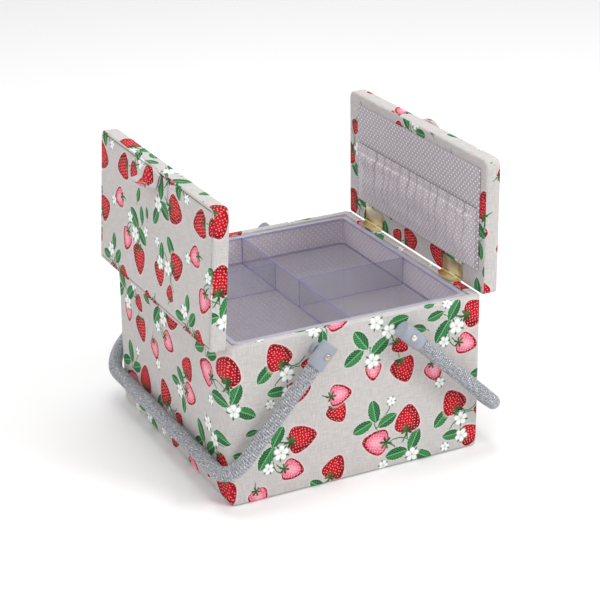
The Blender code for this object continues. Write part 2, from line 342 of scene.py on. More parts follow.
def wobbled(g, local, wobble, amount):
    """A motif's own x and y, with an unevenness as if drawn by hand."""
    x, y, _ = g.split(g.vector("ADD", local, g.vector("SCALE", wobble, scale=amount)))
    return x, y


def draw_berries(g, color, where, wobble, red):
    """Ripe berries with pale seeds, or cut halves with a pink middle."""
    local, size = nearest(g, where, BERRIES if red else HALVES)
    x, y = wobbled(g, local, wobble, 0.07)
    edge = egg(g, x, y)
    color = g.mix(g.times(g.step(edge, 1.26, 0.98), 0.6), color, rgb("ecc9c6"))
    seeds = g.add("TexVoronoi", voronoi_dimensions="2D")
    g.feed(seeds.inputs["Vector"], g.vector("MULTIPLY", local, g.join(size, size, 1.0)))
    seeds.inputs["Scale"].default_value = 0.35
    seeds.inputs["Randomness"].default_value = 0.4
    seed = g.step(seeds.outputs["Distance"], 0.25, 0.15)
    glow = g.step(g.plus(edge, g.times(y, -0.3)), 1.0, 0.2)
    skin = g.mix(glow, rgb("8a0818"), rgb("c50f26"))
    skin = g.mix(g.times(seed, 0.75), skin, rgb("f0aea6"))
    if red:
        body = skin
    else:
        inside = g.times_plus(x, 0.12, edge)
        flesh = g.mix(g.step(edge, 0.7, 0.1), rgb("e36f8b"), rgb("efa3b3"))
        flesh = g.mix(g.times(seed, 0.5), flesh, rgb("fbe3e6"))
        body = g.mix(g.step(inside, 0.84, 0.76), skin, flesh)
    body = g.mix(g.step(edge, 0.90, 0.99), body, rgb("7c0b18"))
    color = g.mix(g.step(edge, 1.02, 0.97), color, body)
    shade = g.mix(g.step(y, -0.2, 0.2), rgb("1f4a27"), rgb("3c7240"))
    return g.mix(calyx(g, x, y), color, shade)


def draw_leaves(g, color, where, wobble):
    """Toothed leaves with veins, each with a short stalk."""
    local, _ = nearest(g, where, LEAVES)
    x, y = wobbled(g, local, wobble, 0.09)
    side = g.absolute(y)
    slant = g.times_plus(side, -1.1, x)
    teeth = g.math("FRACT", g.times(slant, 4.2))
    taper = g.math("MAXIMUM", g.minus(1.0, g.power(g.absolute(x), 2.3)), 0.0)
    width = g.times(g.power(taper, 0.75), g.times_plus(teeth, -0.07, 0.56))
    inside = g.minus(width, side)
    halo = g.times(g.step(inside, -0.2, 0.0), g.step(g.absolute(x), 1.14, 1.0))
    color = g.mix(g.times(halo, 0.55), color, rgb("cddcc9"))
    halves = g.mix(g.step(y, -0.04, 0.04), rgb("1d5c31"), rgb("2f7a40"))
    veins = g.times(g.step(g.absolute(g.minus(teeth, 0.5)), 0.16, 0.05),
                    g.step(inside, 0.02, 0.12))
    veins = g.math("MAXIMUM", g.times(veins, 0.55), g.step(side, 0.055, 0.02))
    body = g.mix(veins, halves, rgb("7fb388"))
    body = g.mix(g.step(inside, 0.10, 0.02), body, rgb("17502a"))
    color = g.mix(g.step(inside, -0.01, 0.03), color, body)
    stalk = g.times(g.step(side, 0.08, 0.03),
                    g.times(g.step(x, -0.9, -0.98), g.step(x, -1.5, -1.4)))
    return g.mix(stalk, color, rgb("3d7a45"))


def draw_flowers(g, color, where, wobble, motifs):
    """White five-petalled flowers with green behind the petals."""
    local, _ = nearest(g, where, motifs)
    x, y = wobbled(g, local, wobble, 0.14)
    radius, angle = polar(g, x, y)
    turn = g.times(angle, 2.5)
    petal = g.power(g.absolute(g.math("COSINE", turn)), 0.7)
    between = g.power(g.absolute(g.math("SINE", turn)), 5.0)
    green = g.step(g.minus(radius, g.times(between, 1.02)), 0.04, -0.04)
    color = g.mix(green, color, rgb("3c6f46"))
    reach = g.times_plus(petal, 0.40, 0.48)
    edge = g.minus(reach, radius)
    color = g.mix(g.times(g.step(edge, -0.16, -0.02), 0.55), color, rgb("b4bab2"))
    fold = g.times(g.step(between, 0.45, 1.0), g.step(radius, 0.95, 0.3))
    shade = g.mix(g.times(fold, 0.55), rgb("f4f6f6"), rgb("b4beba"))
    shade = g.mix(g.times(g.step(edge, 0.16, 0.02), 0.35), shade, rgb("c8cfd0"))
    color = g.mix(g.step(edge, 0.0, 0.05), color, shade)
    stamens = g.times(g.step(g.math("SINE", g.times(angle, 9.0)), 0.2, 0.6),
                      g.times(g.step(radius, 0.12, 0.2), g.step(radius, 0.38, 0.3)))
    color = g.mix(g.times(stamens, 0.5), color, rgb("aab089"))
    return g.mix(g.step(radius, 0.16, 0.08), color, rgb("b6b67c"))


def draw_stems(g, color, where, wobble):
    """Thin bowed stalks between the motifs."""
    place = g.vector("ADD", where, g.vector("SCALE", wobble, scale=1.4))
    nearest_stem = 100.0
    for u0, v0, u1, v1, bow in spread_stems():
        start, along = Vector((u0, v0, 0.0)), Vector((u1 - u0, v1 - v0, 0.0))
        offset = g.vector("SUBTRACT", place, tuple(start))
        share = g.math("MULTIPLY", g.vector("DOT_PRODUCT", offset, tuple(along)),
                       1.0 / along.length_squared, clamp=True)
        across = Vector((-along.y, along.x, 0.0)).normalized()
        rise = g.times(g.times_plus(share, -1.0, 1.0), g.times(share, 4.0 * bow))
        path = g.vector("ADD", g.vector("SCALE", tuple(along), scale=share),
                        g.vector("SCALE", tuple(across), scale=rise))
        nearest_stem = g.math("MINIMUM", nearest_stem, g.vector("DISTANCE", offset, path))
    return g.mix(g.step(nearest_stem, 0.75, 0.4), color, rgb("41764a"))


def spread_stems():
    """Every copy of the stems that may reach into one cell of the repeat."""
    copies = []
    for u0, v0, u1, v1, bow in STEMS:
        for cu, cv in spread([(u0, v0)], 30):
            middle = (cu + (u1 - u0) / 2, cv + (v1 - v0) / 2)
            if -12 < middle[0] < REPEAT_U + 12 and -12 < middle[1] < REPEAT_V + 12:
                copies.append((cu, cv, cu + u1 - u0, cv + v1 - v0, bow))
    return copies


def linen(g, uv, light, dark):
    """The colour and height of slubby linen."""
    u, v, _ = g.split(uv)
    weft = g.noise(g.join(g.times(u, 0.09), g.times(v, 1.5)), 1.0, 3.0)
    warp = g.noise(g.join(g.times(u, 1.5), g.times(v, 0.09), 7.0), 1.0, 3.0)
    slub = g.times(g.plus(weft, warp), 0.5)
    thread = g.times(g.math("SINE", g.times(u, 9.0)), g.math("SINE", g.times(v, 9.0)))
    height = g.times_plus(thread, 0.12, slub)
    return g.mix(g.step(slub, 0.38, 0.62), light, dark), height


def print_cloth():
    """The printed linen: stems, leaves, berries and flowers, then its weave, and painted shade in its
    creases.
    """
    g = Graph("print_cloth_look")
    uv = g.uv_mm()
    noise_node = g.add("TexNoise")
    g.feed(noise_node.inputs["Vector"], uv)
    noise_node.inputs["Scale"].default_value = 0.28
    wobble = g.vector("SUBTRACT", noise_node.outputs["Color"], (0.5, 0.5, 0.5))
    where = cell(g, uv)
    base, height = linen(g, uv, rgb("cfcbc9"), rgb("b7b3b1"))
    color = draw_stems(g, base, where, wobble)
    color = draw_leaves(g, color, where, wobble)
    color = draw_berries(g, color, where, wobble, True)
    color = draw_berries(g, color, where, wobble, False)
    color = draw_flowers(g, color, where, wobble, FLOWERS)
    color = draw_flowers(g, color, where, wobble, BUDS)
    tone = g.times_plus(height, 0.25, 0.87)
    color = g.mix(1.0, color, g.add("CombineColor", tone, tone, tone).outputs[0], "MULTIPLY")
    # painted shade: the cloth is darkened along the line where the mesh creases inward
    line = g.times(g.step(g.crease(), 0.45, 0.9), 0.7)
    color = g.mix(line, color, rgb("5d5754"))
    g.bump(height, 0.0005, 0.5)
    return g.finish(color, g.times_plus(height, 0.2, 0.72), Sheen_Weight=0.03,
                    Sheen_Roughness=0.5, Specular_IOR_Level=0.12)


def dotted(g, place, light, dark, creases=None):
    """Grey-mauve cloth with staggered white dots, from a place in millimetres on it; creases, where
    given, is a mask of painted shade in the gathers' creases.
    """
    x, y, _ = g.split(place)
    a = g.times(g.plus(x, y), 1 / 6)
    b = g.times(g.minus(x, y), 1 / 6)
    cells = [g.minus(g.math("FRACT", value), 0.5) for value in (a, b)]
    gap = g.vector("LENGTH", g.join(*cells))
    base, height = linen(g, place, light, dark)
    dot = g.step(gap, 0.24, 0.15)
    color = g.mix(g.times(dot, 0.85), base, rgb("fcfafc"))
    # painted shade: darker in the gathers' creases
    if creases:
        color = g.mix(creases, color, rgb("6b6368"))
    g.bump(g.times_plus(dot, 0.2, height), 0.0004, 0.5)
    return g.finish(color, g.times_plus(dot, -0.1, 0.85), Sheen_Weight=0.2,
                    Specular_IOR_Level=0.25)


def dotted_sheet():
    """The dotted cloth on a sheet with its own cloth places."""
    g = Graph("dotted_sheet_look")
    return dotted(g, g.uv_mm(), rgb("bcb3b9"), rgb("a8a0a6"))


def pocket_look():
    """The dotted cloth with painted shade in its gathers' creases, from the mesh's own "crease"
    values.
    """
    g = Graph("pocket_look")
    # painted sheen: this copy of the dotted cloth is lighter than the card's
    return dotted(g, g.uv_mm(), rgb("cdc4ca"), rgb("b8b0b6"), g.crease())


def dotted_board():
    """The same cloth on the lining boards, laid flat on whichever way each face points, in lighter
    colours: painted light for the inside of the box, which the tray shades.
    """
    g = Graph("dotted_board_look")
    x, y, z = g.split(g.object_mm())
    nx, ny, _ = g.split(g.vector("ABSOLUTE", g.add("NewGeometry").outputs["True Normal"]))
    flat = g.join(x, y)
    place = g.mix_vector(g.math("GREATER_THAN", ny, 0.7), flat, g.join(x, z))
    place = g.mix_vector(g.math("GREATER_THAN", nx, 0.7), place, g.join(y, z))
    # painted light: much lighter colours than the card's copy of the same cloth
    return dotted(g, place, rgb("e9dfe9"), rgb("d6ccd8"))


def hem_look():
    """The pocket's rolled, elasticated edge, darker than the pocket's cloth: painted shade of the
    pocket's mouth.
    """
    g = Graph("hem_look")
    # painted shade: darker than the pocket cloth
    base, height = linen(g, g.object_mm(), rgb("a39ba1"), rgb("8a8288"))
    g.bump(height, 0.0002, 0.5)
    return g.finish(base, g.times_plus(height, 0.1, 0.8), Specular_IOR_Level=0.2)


def board_look():
    """The underside's plain cloth-covered board."""
    g = Graph("board_look")
    base, height = linen(g, g.object_mm(), rgb("8d867f"), rgb("777069"))
    g.bump(height, 0.0004, 0.5)
    return g.finish(base, g.times_plus(height, 0.2, 0.75), Specular_IOR_Level=0.25)


def metal_look(name, color, dark, roughness):
    """Worn metal with a fine grain."""
    g = Graph(name)
    place = g.object_mm()
    wear = g.noise(place, 0.06, 1.0)
    grain = g.noise(g.vector("MULTIPLY", place, (1.0, 0.15, 1.0)), 6.0)
    g.bump(grain, 0.00003, 0.3)
    return g.finish(g.mix(g.step(wear, 0.42, 0.68), rgb(color), rgb(dark)),
                    g.times_plus(wear, 0.25, roughness), Metallic=1.0)


def cap_look():
    """The grey plastic of the handle caps."""
    g = Graph("grey_plastic_look")
    place = g.object_mm()
    cloud, speck = g.noise(place, 0.12), g.noise(place, 3.0, 3.0)
    g.bump(speck, 0.00006, 0.5)
    return g.finish(g.mix(cloud, rgb("8b919c"), rgb("a1a7b3")),
                    g.times_plus(speck, 0.15, 0.33), Specular_IOR_Level=0.5)


def cord_look():
    """Twisted strands of silver-grey yarn, with painted glints and painted shade in the grooves
    between wraps: U runs round the handle and V along its winding.
    """
    g = Graph("grey_cord_look")
    u, v, _ = g.split(g.uv_mm())
    lean = g.plus(u, g.times(v, 1.0))
    strand = g.math("SINE", g.times(lean, 2 * math.pi / 1.3))
    fleck_and_glint = g.noise(g.join(g.times(lean, 0.9), g.times(v, 0.55)), 1.0, 3.0)
    color = g.mix(g.step(strand, -0.7, 0.6), rgb("7d8188"), rgb("c3c6cd"))
    # painted highlight: white glints on the yarn, where the noise is high; darker flecks where it is
    # low
    color = g.mix(g.step(fleck_and_glint, 0.54, 0.64), color, rgb("f1f1f3"))
    color = g.mix(g.step(fleck_and_glint, 0.45, 0.35), color, rgb("55575b"))
    # painted shade: darker in the grooves between the wraps
    groove = g.math("COSINE", g.times(v, 2 * math.pi / CORD_PITCH_MM))
    color = g.mix(g.times(g.step(groove, 0.1, -0.9), 0.55), color, rgb("4a4d53"))
    g.bump(g.plus(g.times(strand, 0.5), fleck_and_glint), 0.00035, 0.7)
    return g.finish(color, g.times_plus(fleck_and_glint, -0.3, 0.68), Sheen_Weight=0.3,
                    Sheen_Roughness=0.4)


def plastic(name, thin_axis=None):
    """Clear plastic with a violet cast: cut edges and the lip's inner line show deeper blue-violet,
    and the lip's band is painted lighter and more opaque, a painted highlight.
    """
    g = Graph(name)
    place = g.object_mm()
    _, _, z = g.split(place)
    normal = g.split(g.vector("ABSOLUTE", g.add("NewGeometry").outputs["True Normal"]))
    if thin_axis is None:
        low = g.step(z, (TRAY_FLOOR + 0.0030) * 1000, (TRAY_FLOOR + 0.0020) * 1000)
        floor = g.times(low, g.step(normal[2], 0.6, 0.9))
        x, y, _ = g.split(g.vector("ABSOLUTE", place))
        out = g.math("MAXIMUM", x, y)
        top = g.step(z, LIP_TOP * 1000 - 2.4, LIP_TOP * 1000 - 1.8)
        lip_line = g.times(top, g.step(g.absolute(g.minus(out, 114.7)), 0.7, 0.3))
        lip = g.times(top, g.step(out, 114.6, 115.4))
        edge = g.math("MAXIMUM", g.times(low, g.step(normal[2], 0.9, 0.5)), lip_line)
    else:
        floor, edge = None, g.step(normal[thin_axis], 0.6, 0.3)
    grime = g.noise(place, 0.05)
    color = g.mix(g.step(grime, 0.35, 0.7), rgb("a8a6ba"), rgb("b9b7c6"))
    color = g.mix(edge, color, rgb("625ea8"))
    alpha = g.times_plus(edge, 0.45, 0.025 if thin_axis is None else 0.2)
    if floor is not None:
        alpha = g.times_plus(floor, 0.33, alpha)
        color = g.mix(floor, color, rgb("aeabb4"))
        # painted highlight: the lip's band is lighter and more opaque than the walls
        alpha = g.times_plus(lip, 0.55, alpha)
        color = g.mix(lip, color, rgb("c8c7d3"))
        color = g.mix(lip_line, color, rgb("908dbb"))
    g.feed(g.shader.inputs["Alpha"], alpha)
    g.bump(g.noise(place, 0.08), 0.0006, 0.25)
    return g.finish(color, g.times_plus(grime, 0.08, 0.03), Specular_IOR_Level=0.6)


def stage_look():
    """The white floor."""
    g = Graph("stage_look")
    g.bump(g.noise(g.object_mm(), 0.2), 0.0002, 0.1)
    return g.finish(g.mix(g.noise(g.object_mm(), 0.003), rgb("fbfbfb"), rgb("fdfdfd")), 0.6,
                    Specular_IOR_Level=0.1)


# ---- mesh building ----
def make_piece(name, body, look, vertices, faces, uvs=None, closed=True, smooth=50):
    """A piece from vertices, faces and, per face, its corners' places on the cloth."""
    shape = bmesh.new()
    made = [shape.verts.new(v) for v in vertices]
    layer = shape.loops.layers.uv.new("cloth")
    for index, corners in enumerate(faces):
        face = shape.faces.new([made[i] for i in corners])
        if uvs:
            for loop, uv in zip(face.loops, uvs[index]):
                loop[layer].uv = uv
    if closed:
        bmesh.ops.recalc_face_normals(shape, faces=shape.faces)
    mesh = bpy.data.meshes.new(name)
    shape.to_mesh(mesh)
    shape.free()
    mesh.shade_smooth()
    if smooth:
        mesh.set_sharp_from_angle(angle=math.radians(smooth))
    piece = bpy.data.objects.new(name, mesh)
    bpy.context.scene.collection.objects.link(piece)
    mesh.materials.append(look)
    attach(piece, body)
    return piece


def add_creases(piece, values):
    """Keeps how far each point lies in a crease, for the cloth looks to darken with painted shade."""
    piece.data.attributes.new("crease", "FLOAT", "POINT").data.foreach_set("value", values)


def arc(radius, start, stop, steps):
    """(1 - cos, 1 - sin) of a quarter circle's part: how far in from a face and down from a top."""
    angles = [math.radians(start + (stop - start) * i / steps) for i in range(steps + 1)]
    return [(radius * (1 - math.cos(a)), radius * (1 - math.sin(a))) for a in angles]


def spaced(start, stop, step):
    """Evenly spaced values from start to stop, without its ends."""
    count = max(1, round(abs(stop - start) / step))
    return [start + (stop - start) * i / count for i in range(1, count)]


def square_path(half, radius, inset, step, corner_steps=6):
    """Points round a rounded square, each with the side that it is on.
    Corners are split at 45 degrees. Sides: 0 front, 1 right, 2 back, 3 left."""
    reach = half - radius
    count = round(2 * half / step)
    flat = [reach * (2 * i / count - 1) for i in range(count + 1)]
    shrink = (half - inset - radius) / reach
    points = []
    for side in range(4):
        turn = Matrix.Rotation(math.pi / 2 * side, 2)
        for a in flat:
            points.append((turn @ Vector((a * shrink, inset - half)), side))
        for i in range(1, corner_steps):
            angle = math.pi / 2 * i / corner_steps
            centre = Vector((reach * shrink, -reach * shrink))
            offset = Vector((math.sin(angle), -math.cos(angle))) * radius
            late = side if i < corner_steps / 2 else (side + 1) % 4
            points.append((turn @ (centre + offset), late))
    return points


def sweep(profile, half, radius_at, step, cap=False):
    """Rings round a rounded square, one for each (inset, height) of the profile.
    Returns vertices, faces, and each face's (ring, point) pairs. The profile closes on
    itself, or its two ends are capped."""
    rings = [square_path(half, radius_at(inset), inset, step) for inset, _ in profile]
    count = len(rings[0])
    vertices = [(p.x, p.y, z) for ring, (_, z) in zip(rings, profile) for p, _ in ring]
    faces, marks = [], []
    for k in range(len(profile) - (1 if cap else 0)):
        after = (k + 1) % len(profile)
        for i in range(count):
            j = (i + 1) % count
            marks.append([(k, i), (k, j), (after, j), (after, i)])
            faces.append([a * count + b for a, b in marks[-1]])
    if cap:
        last = len(profile) - 1
        faces += [list(range(count)), [last * count + i for i in reversed(range(count))]]
    return vertices, faces, marks, [side for _, side in rings[0]]


def slab(half_s, half_t, half_w, corner_at, fillet, step):
    """A slab with rounded corners and edges, as vertices, faces and each face's kind.
    Its outer face is at +w. Kinds: outer, inner, and +s, -s, +t, -t for its edges."""
    insets = [fillet * (1 - math.cos(math.radians(a))) for a in (45, 60, 75, 90)]
    corner = max(corner_at(1), corner_at(-1))
    insets += spaced(fillet, corner, 0.0016) + [corner]

    def lines(half):
        low = [i - half for i in insets]
        return low + spaced(corner - half, half - corner, step) + [-v for v in reversed(low)]

    def plan(s, t, inset=None):
        r = corner_at(t)
        q = Vector((max(r - half_s, min(half_s - r, s)), max(r - half_t, min(half_t - r, t))))
        d = Vector((s, t)) - q
        big = max(abs(d.x), abs(d.y))
        if big < 1e-9:
            return q
        return q + d.normalized() * (big if inset is None else r - inset)

    ss, ts = lines(half_s), lines(half_t)
    last_s, last_t = len(ss) - 1, len(ts) - 1
    vertices, index = [], {}

    def put(key, point, w):
        index[key] = len(vertices)
        vertices.append((point.x, point.y, w))

    for i, s in enumerate(ss):
        for j, t in enumerate(ts):
            inset = min(half_s - abs(s), half_t - abs(t))
            drop = 0.0
            if inset < fillet:
                drop = fillet - math.sqrt(max(fillet ** 2 - (fillet - inset) ** 2, 0.0))
            put((i, j, 0), plan(s, t), half_w - drop)
            put((i, j, "last"), plan(s, t), drop - half_w)
    rim = ([(i, 0, "-t") for i in range(last_s)] + [(last_s, j, "+s") for j in range(last_t)]
           + [(i, last_t, "+t") for i in range(last_s, 0, -1)]
           + [(0, j, "-s") for j in range(last_t, 0, -1)])
    drops = [fillet * (1 - math.sin(math.radians(a))) for a in (30, 15, 0)]
    middle = 2 * half_w
    levels = drops + spaced(fillet, middle - fillet, 0.003) + [middle - d for d in reversed(drops)]
    for k, drop in enumerate(levels, 1):
        depth = min(drop, middle - drop)
        inset = 0.0
        if depth < fillet:
            inset = fillet - math.sqrt(fillet ** 2 - (fillet - depth) ** 2)
        for i, j, _ in rim:
            put((i, j, k), plan(ss[i], ts[j], inset), half_w - drop)
    faces, kinds = [], []
    for i in range(last_s):
        for j in range(last_t):
            square = [(i, j), (i + 1, j), (i + 1, j + 1), (i, j + 1)]
            faces.append([index[(*c, 0)] for c in square])
            faces.append([index[(*c, "last")] for c in reversed(square)])
            kinds += ["outer", "inner"]
    names = [0] + list(range(1, len(levels) + 1)) + ["last"]
    for n, (i, j, kind) in enumerate(rim):
        i2, j2, _ = rim[(n + 1) % len(rim)]
        for upper, lower in zip(names, names[1:]):
            faces.append([index[(i, j, upper)], index[(i, j, lower)], index[(i2, j2, lower)],
                          index[(i2, j2, upper)]])
            kinds.append(kind)
    return vertices, faces, kinds


def grid(columns, rows):
    """The faces of a grid of vertices, row by row."""
    return [[r * columns + c, r * columns + c + 1, (r + 1) * columns + c + 1, (r + 1) * columns + c]
            for r in range(rows - 1) for c in range(columns - 1)]


def tube_faces(rings, around):
    """The faces of a closed tube: bands between its rings of vertices, and its two ends."""
    bands = [[k * around + i, k * around + (i + 1) % around,
              (k + 1) * around + (i + 1) % around, (k + 1) * around + i]
             for k in range(rings - 1) for i in range(around)]
    last = (rings - 1) * around
    return bands + [list(reversed(range(around))), [last + i for i in range(around)]]


def per_corner(uvs, faces):
    """Each face's own list of cloth places, from one for each vertex."""
    return [[uvs[i] for i in face] for face in faces]


def thicken(sheet, thickness):
    """Gives a sheet its cloth's thickness, half to each side."""
    modifier = sheet.modifiers.new("thickness", "SOLIDIFY")
    modifier.thickness, modifier.offset = thickness, 0.0


def lathe(profile, start, along, steps=32):
    """A profile of (distance along, radius) turned round an axis: vertices and faces."""
    along = Vector(along).normalized()
    side = along.orthogonal().normalized()
    other = along.cross(side)
    vertices = []
    for reach, radius in profile:
        for i in range(steps):
            angle = 2 * math.pi * i / steps
            spoke = side * math.cos(angle) + other * math.sin(angle)
            vertices.append(Vector(start) + along * reach + spoke * radius)
    return vertices, tube_faces(len(profile), steps)


def merge(parts):
    """Several (vertices, faces) as one."""
    vertices, faces = [], []
    for some, their in parts:
        faces += [[i + len(vertices) for i in face] for face in their]
        vertices += some
    return vertices, faces


def soft(place, scale, depth):
    """A small smooth unevenness at a place, the same on every run."""
    return noise.noise(Vector(place) * scale) * depth


# ---- looks ----
PRINT = print_cloth()
DOTTED = dotted_sheet()
DOTTED_BOARD = dotted_board()
BOARD = board_look()
HEM = hem_look()
POCKET_LOOK = pocket_look()
BRASS = metal_look("brass_look", "f5e8c2", "cdb377", 0.2)
STEEL = metal_look("steel_look", "d9d4c6", "b3aa93", 0.18)
CAP_LOOK = cap_look()
CORD_LOOK = cord_look()
TRAY_LOOK = plastic("tray_plastic_look")
DIVIDER_X_LOOK = plastic("divider_plastic_look_x", 0)
DIVIDER_Y_LOOK = plastic("divider_plastic_look_y", 1)


# ---- body ----
def build_body():
    """The print cloth round the four walls and over their rim."""
    up = arc(EDGE_ROUND, 90, 0, 4)
    side = [(0.0, z) for z in spaced(EDGE_ROUND, HEIGHT - RIM_ROUND, 0.009)]
    over = [(d, HEIGHT - z) for d, z in arc(RIM_ROUND, 0, 90, 4)]
    rim = [(0.0042, HEIGHT), (0.0066, HEIGHT)]
    inner = [(WALL - 0.0004, HEIGHT - 0.0004), (WALL, HEIGHT - 0.0014), (WALL, 0.08), (WALL, 0.0)]
    profile = up + side + over + rim + inner
    arcs, total = [], 0.0
    for (d0, z0), (d1, z1) in zip(profile, profile[1:] + profile[:1]):
        arcs.append(total)
        total += math.hypot(d1 - d0, z1 - z0)
    start = next(a for a, (_, z) in zip(arcs, profile) if abs(z - EDGE_ROUND) < 1e-9)
    arcs = [a - start + EDGE_ROUND for a in arcs]

    def radius_at(inset):
        return max(CORNER_ROUND - inset, 0.0006)

    vertices, faces, marks, sides = sweep(profile, HALF, radius_at, 0.009)
    count = len(sides)
    for n, (x, y, z) in enumerate(vertices):
        inset, _ = profile[n // count]
        if inset < 0.0062:
            push = soft((x, y, z), 22, 0.00035)
            if z > HEIGHT - 0.001:
                vertices[n] = (x, y, z + push * 0.8)
            else:
                away = Vector((x if abs(x) > HALF - 0.004 else 0, y if abs(y) > HALF - 0.004 else 0))
                away = away.normalized() * push
                vertices[n] = (x + away.x, y + away.y, z)

    def cloth_u(side, x, y):
        if side == 3:  # the left side's cloth is eased round the front corner
            away = y + HALF
            return -0.51 * away if away < 0.0265 else 0.013 - away
        return (x + HALF, y + HALF + 0.260, HALF - x + 0.520)[side]

    uvs = []
    for mark in marks:
        side = sides[mark[0][1]]
        row = []
        closing = mark[2][0] == 0
        for k, i in mark:
            x, y, _ = vertices[k * count + i]
            arc_here = total - start + EDGE_ROUND if closing and k == 0 else arcs[k]
            row.append((cloth_u(side, x, y), arc_here))
        uvs.append(row)
    cover = make_piece("body_cover", "box", PRINT, vertices, faces, uvs, smooth=0)
    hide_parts("front_wall", "back_wall", "left_wall", "right_wall")


def dress(name, look):
    """Gives a CAD node its look, and returns the node."""
    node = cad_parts[name]
    node.material_slots[0].material = look
    return node


def dress_nodes():
    """Looks for the CAD nodes that are shown as they are."""
    for place in ("front", "back", "left", "right", "floor"):
        dress(f"{place}_lining", DOTTED_BOARD)
    dress("base_board", BOARD)
    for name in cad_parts:
        for ending, look in (("washer", CAP_LOOK), ("nut", STEEL), ("hinge_pin", BRASS)):
            if name.endswith(ending):
                dress(name, look)


# ---- tray ----
def build_tray():
    """The moulded tray, and the looks of its dividers."""
    tub, inside = LIP_HALF - TUB_HALF, LIP_HALF - TUB_INSIDE_HALF
    floor_top = TRAY_FLOOR + 0.0015
    profile = [(inside + 0.004, floor_top), (inside + 0.0019, floor_top + 0.0002),
               (inside + 0.0007, floor_top + 0.0009), (inside + 0.0001, floor_top + 0.0026)]
    profile += [(inside, z) for z in spaced(floor_top + 0.0026, LIP_TOP - 0.0012, 0.006)]
    profile += [(inside, LIP_TOP - 0.0012), (inside - 0.0003, LIP_TOP - 0.0004),
                (inside - 0.0010, LIP_TOP), (0.0008, LIP_TOP), (0.0002, LIP_TOP - 0.0003),
                (0.0, LIP_TOP - 0.0009), (0.0, LIP_TOP - 0.0018), (0.0003, LIP_TOP - 0.002),
                (tub - 0.0008, LIP_TOP - 0.002), (tub, LIP_TOP - 0.0028)]
    profile += [(tub, z) for z in spaced(LIP_TOP - 0.0028, TRAY_FLOOR + 0.002, 0.006)]
    profile += [(tub, TRAY_FLOOR + 0.002), (tub + 0.0006, TRAY_FLOOR + 0.0006),
                (tub + 0.002, TRAY_FLOOR)]
    vertices, faces, _, _ = sweep(profile, LIP_HALF, lambda inset: 0.006, 0.02, cap=True)
    tray = make_piece("tray_shell", "tray", TRAY_LOOK, vertices, faces,
                      smooth=40)
    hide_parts("tray")
    for name, look in (("tray_divider_long", DIVIDER_X_LOOK), ("tray_divider_right", DIVIDER_Y_LOOK),
                       ("tray_divider_left", DIVIDER_Y_LOOK)):
        bevel = dress(name, look).modifiers.new("soft_edges", "BEVEL")
        bevel.width, bevel.segments = 0.0004, 2


# ---- lids: places are (away from the box, front to back, from hinge to free edge) ----
def lid_point(name, v, y, u):
    """A lid's place, as above, in the shared frame."""
    side, lean = SIDES[name], LEAN[name]
    x = v * math.cos(lean) - u * math.sin(lean)
    z = v * math.sin(lean) + u * math.cos(lean)
    return Vector((side * (HALF + x), y, AXIS_Z + z))


LID_CLOTH = {  # where each lid's outer cloth lies on the print: cloth u, v from (y, u)
    "left": lambda y, u: (0.285 - u, HALF - y + 0.039),
    "right": lambda y, u: (u + 0.052, y + HALF + 0.02),
}
BORDER_CLOTH = {
    "left": lambda y, u: (y + HALF + 0.1, u + 0.03),
    "right": lambda y, u: (u + 0.170, y - HALF + 0.050),
}
EDGE_CLOTH = {  # edges whose cloth doesn't run on from the outer face
    "left": {"-s": lambda y, u, w: (0.182 - w, u - 0.0175),
             "+t": lambda y, u, w: (y - HALF + 0.126, 0.0526 - w)},
    "right": {"-s": lambda y, u, w: (0.0912 - w, u + 0.012),
              "+t": lambda y, u, w: (y + HALF + 0.122, 0.1698 + w)},
}


def build_lid(name):
    """The lid's padded cover in print cloth."""
    half_t, half_w = (LID_LENGTH + LID_OVERHANG) / 2, LID_THICKNESS / 2
    vertices, faces, kinds = slab(HALF, half_t, half_w, lambda t: 0.0075 if t > 0 else 0.0034,
                                  0.0018, 0.008)
    placed, creases = [], []
    for y, t, w in vertices:
        inset, fold = min(HALF - abs(y), half_t - abs(t)), 0.0
        if w > half_w - 0.0019 and inset > 0.0006:
            crown = LID_CROWN * (1 - math.exp(-(inset - 0.0006) / 0.010))
            fold = math.exp(-(((inset - CREASE_INSET) / 0.0008) ** 2))
            uneven = soft((y, t, w + SIDES[name]), 25, 0.0005) * min(inset / 0.02, 1)
            w += crown - CREASE_DEPTH * fold + uneven
        elif abs(w) < half_w - 0.0015:
            bulge = 0.0003 * (1 - (w / half_w) ** 2) + soft((y, t, w), 30, 0.0003)
            if HALF - abs(y) < 0.0001:
                y += math.copysign(bulge, y)
            elif half_t - abs(t) < 0.0001 and t > 0:
                t += bulge
        placed.append((y, t, w))
        # the crease's depth, also kept for the painted shade in the crease
        creases.append(fold)

    def uv_of(point, kind):
        y, t, w = point
        u = t + half_t - LID_OVERHANG
        deep = half_w - w
        if kind == "top border":
            return 0.086 + LID_LENGTH - u, y + HALF + 0.028
        if kind == "inner":
            return BORDER_CLOTH[name](y, u)
        if kind in EDGE_CLOTH[name]:
            return EDGE_CLOTH[name][kind](y, u, w)
        grow = {"+s": (deep, 0), "-s": (-deep, 0), "+t": (0, deep), "-t": (0, -deep)}
        dy, du = grow.get(kind, (0, 0))
        return LID_CLOTH[name](y + dy, u + du)

    uvs = []
    for face, kind in zip(faces, kinds):
        u = sum(placed[i][1] for i in face) / 4 + half_t - LID_OVERHANG
        if name == "right" and kind == "inner" and u > CARD[3] - 0.004:
            kind = "top border"
        uvs.append([uv_of(placed[i], kind) for i in face])
    world = [lid_point(name, HINGE_RISE + half_w + w, y, t + half_t - LID_OVERHANG)
             for y, t, w in placed]
    cover = make_piece(f"{name}_lid_cover", f"{name}_lid", PRINT, world, faces,
                       uvs, smooth=0)
    add_creases(cover, creases)
    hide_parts(f"{name}_lid_board", f"{name}_lid_padding")


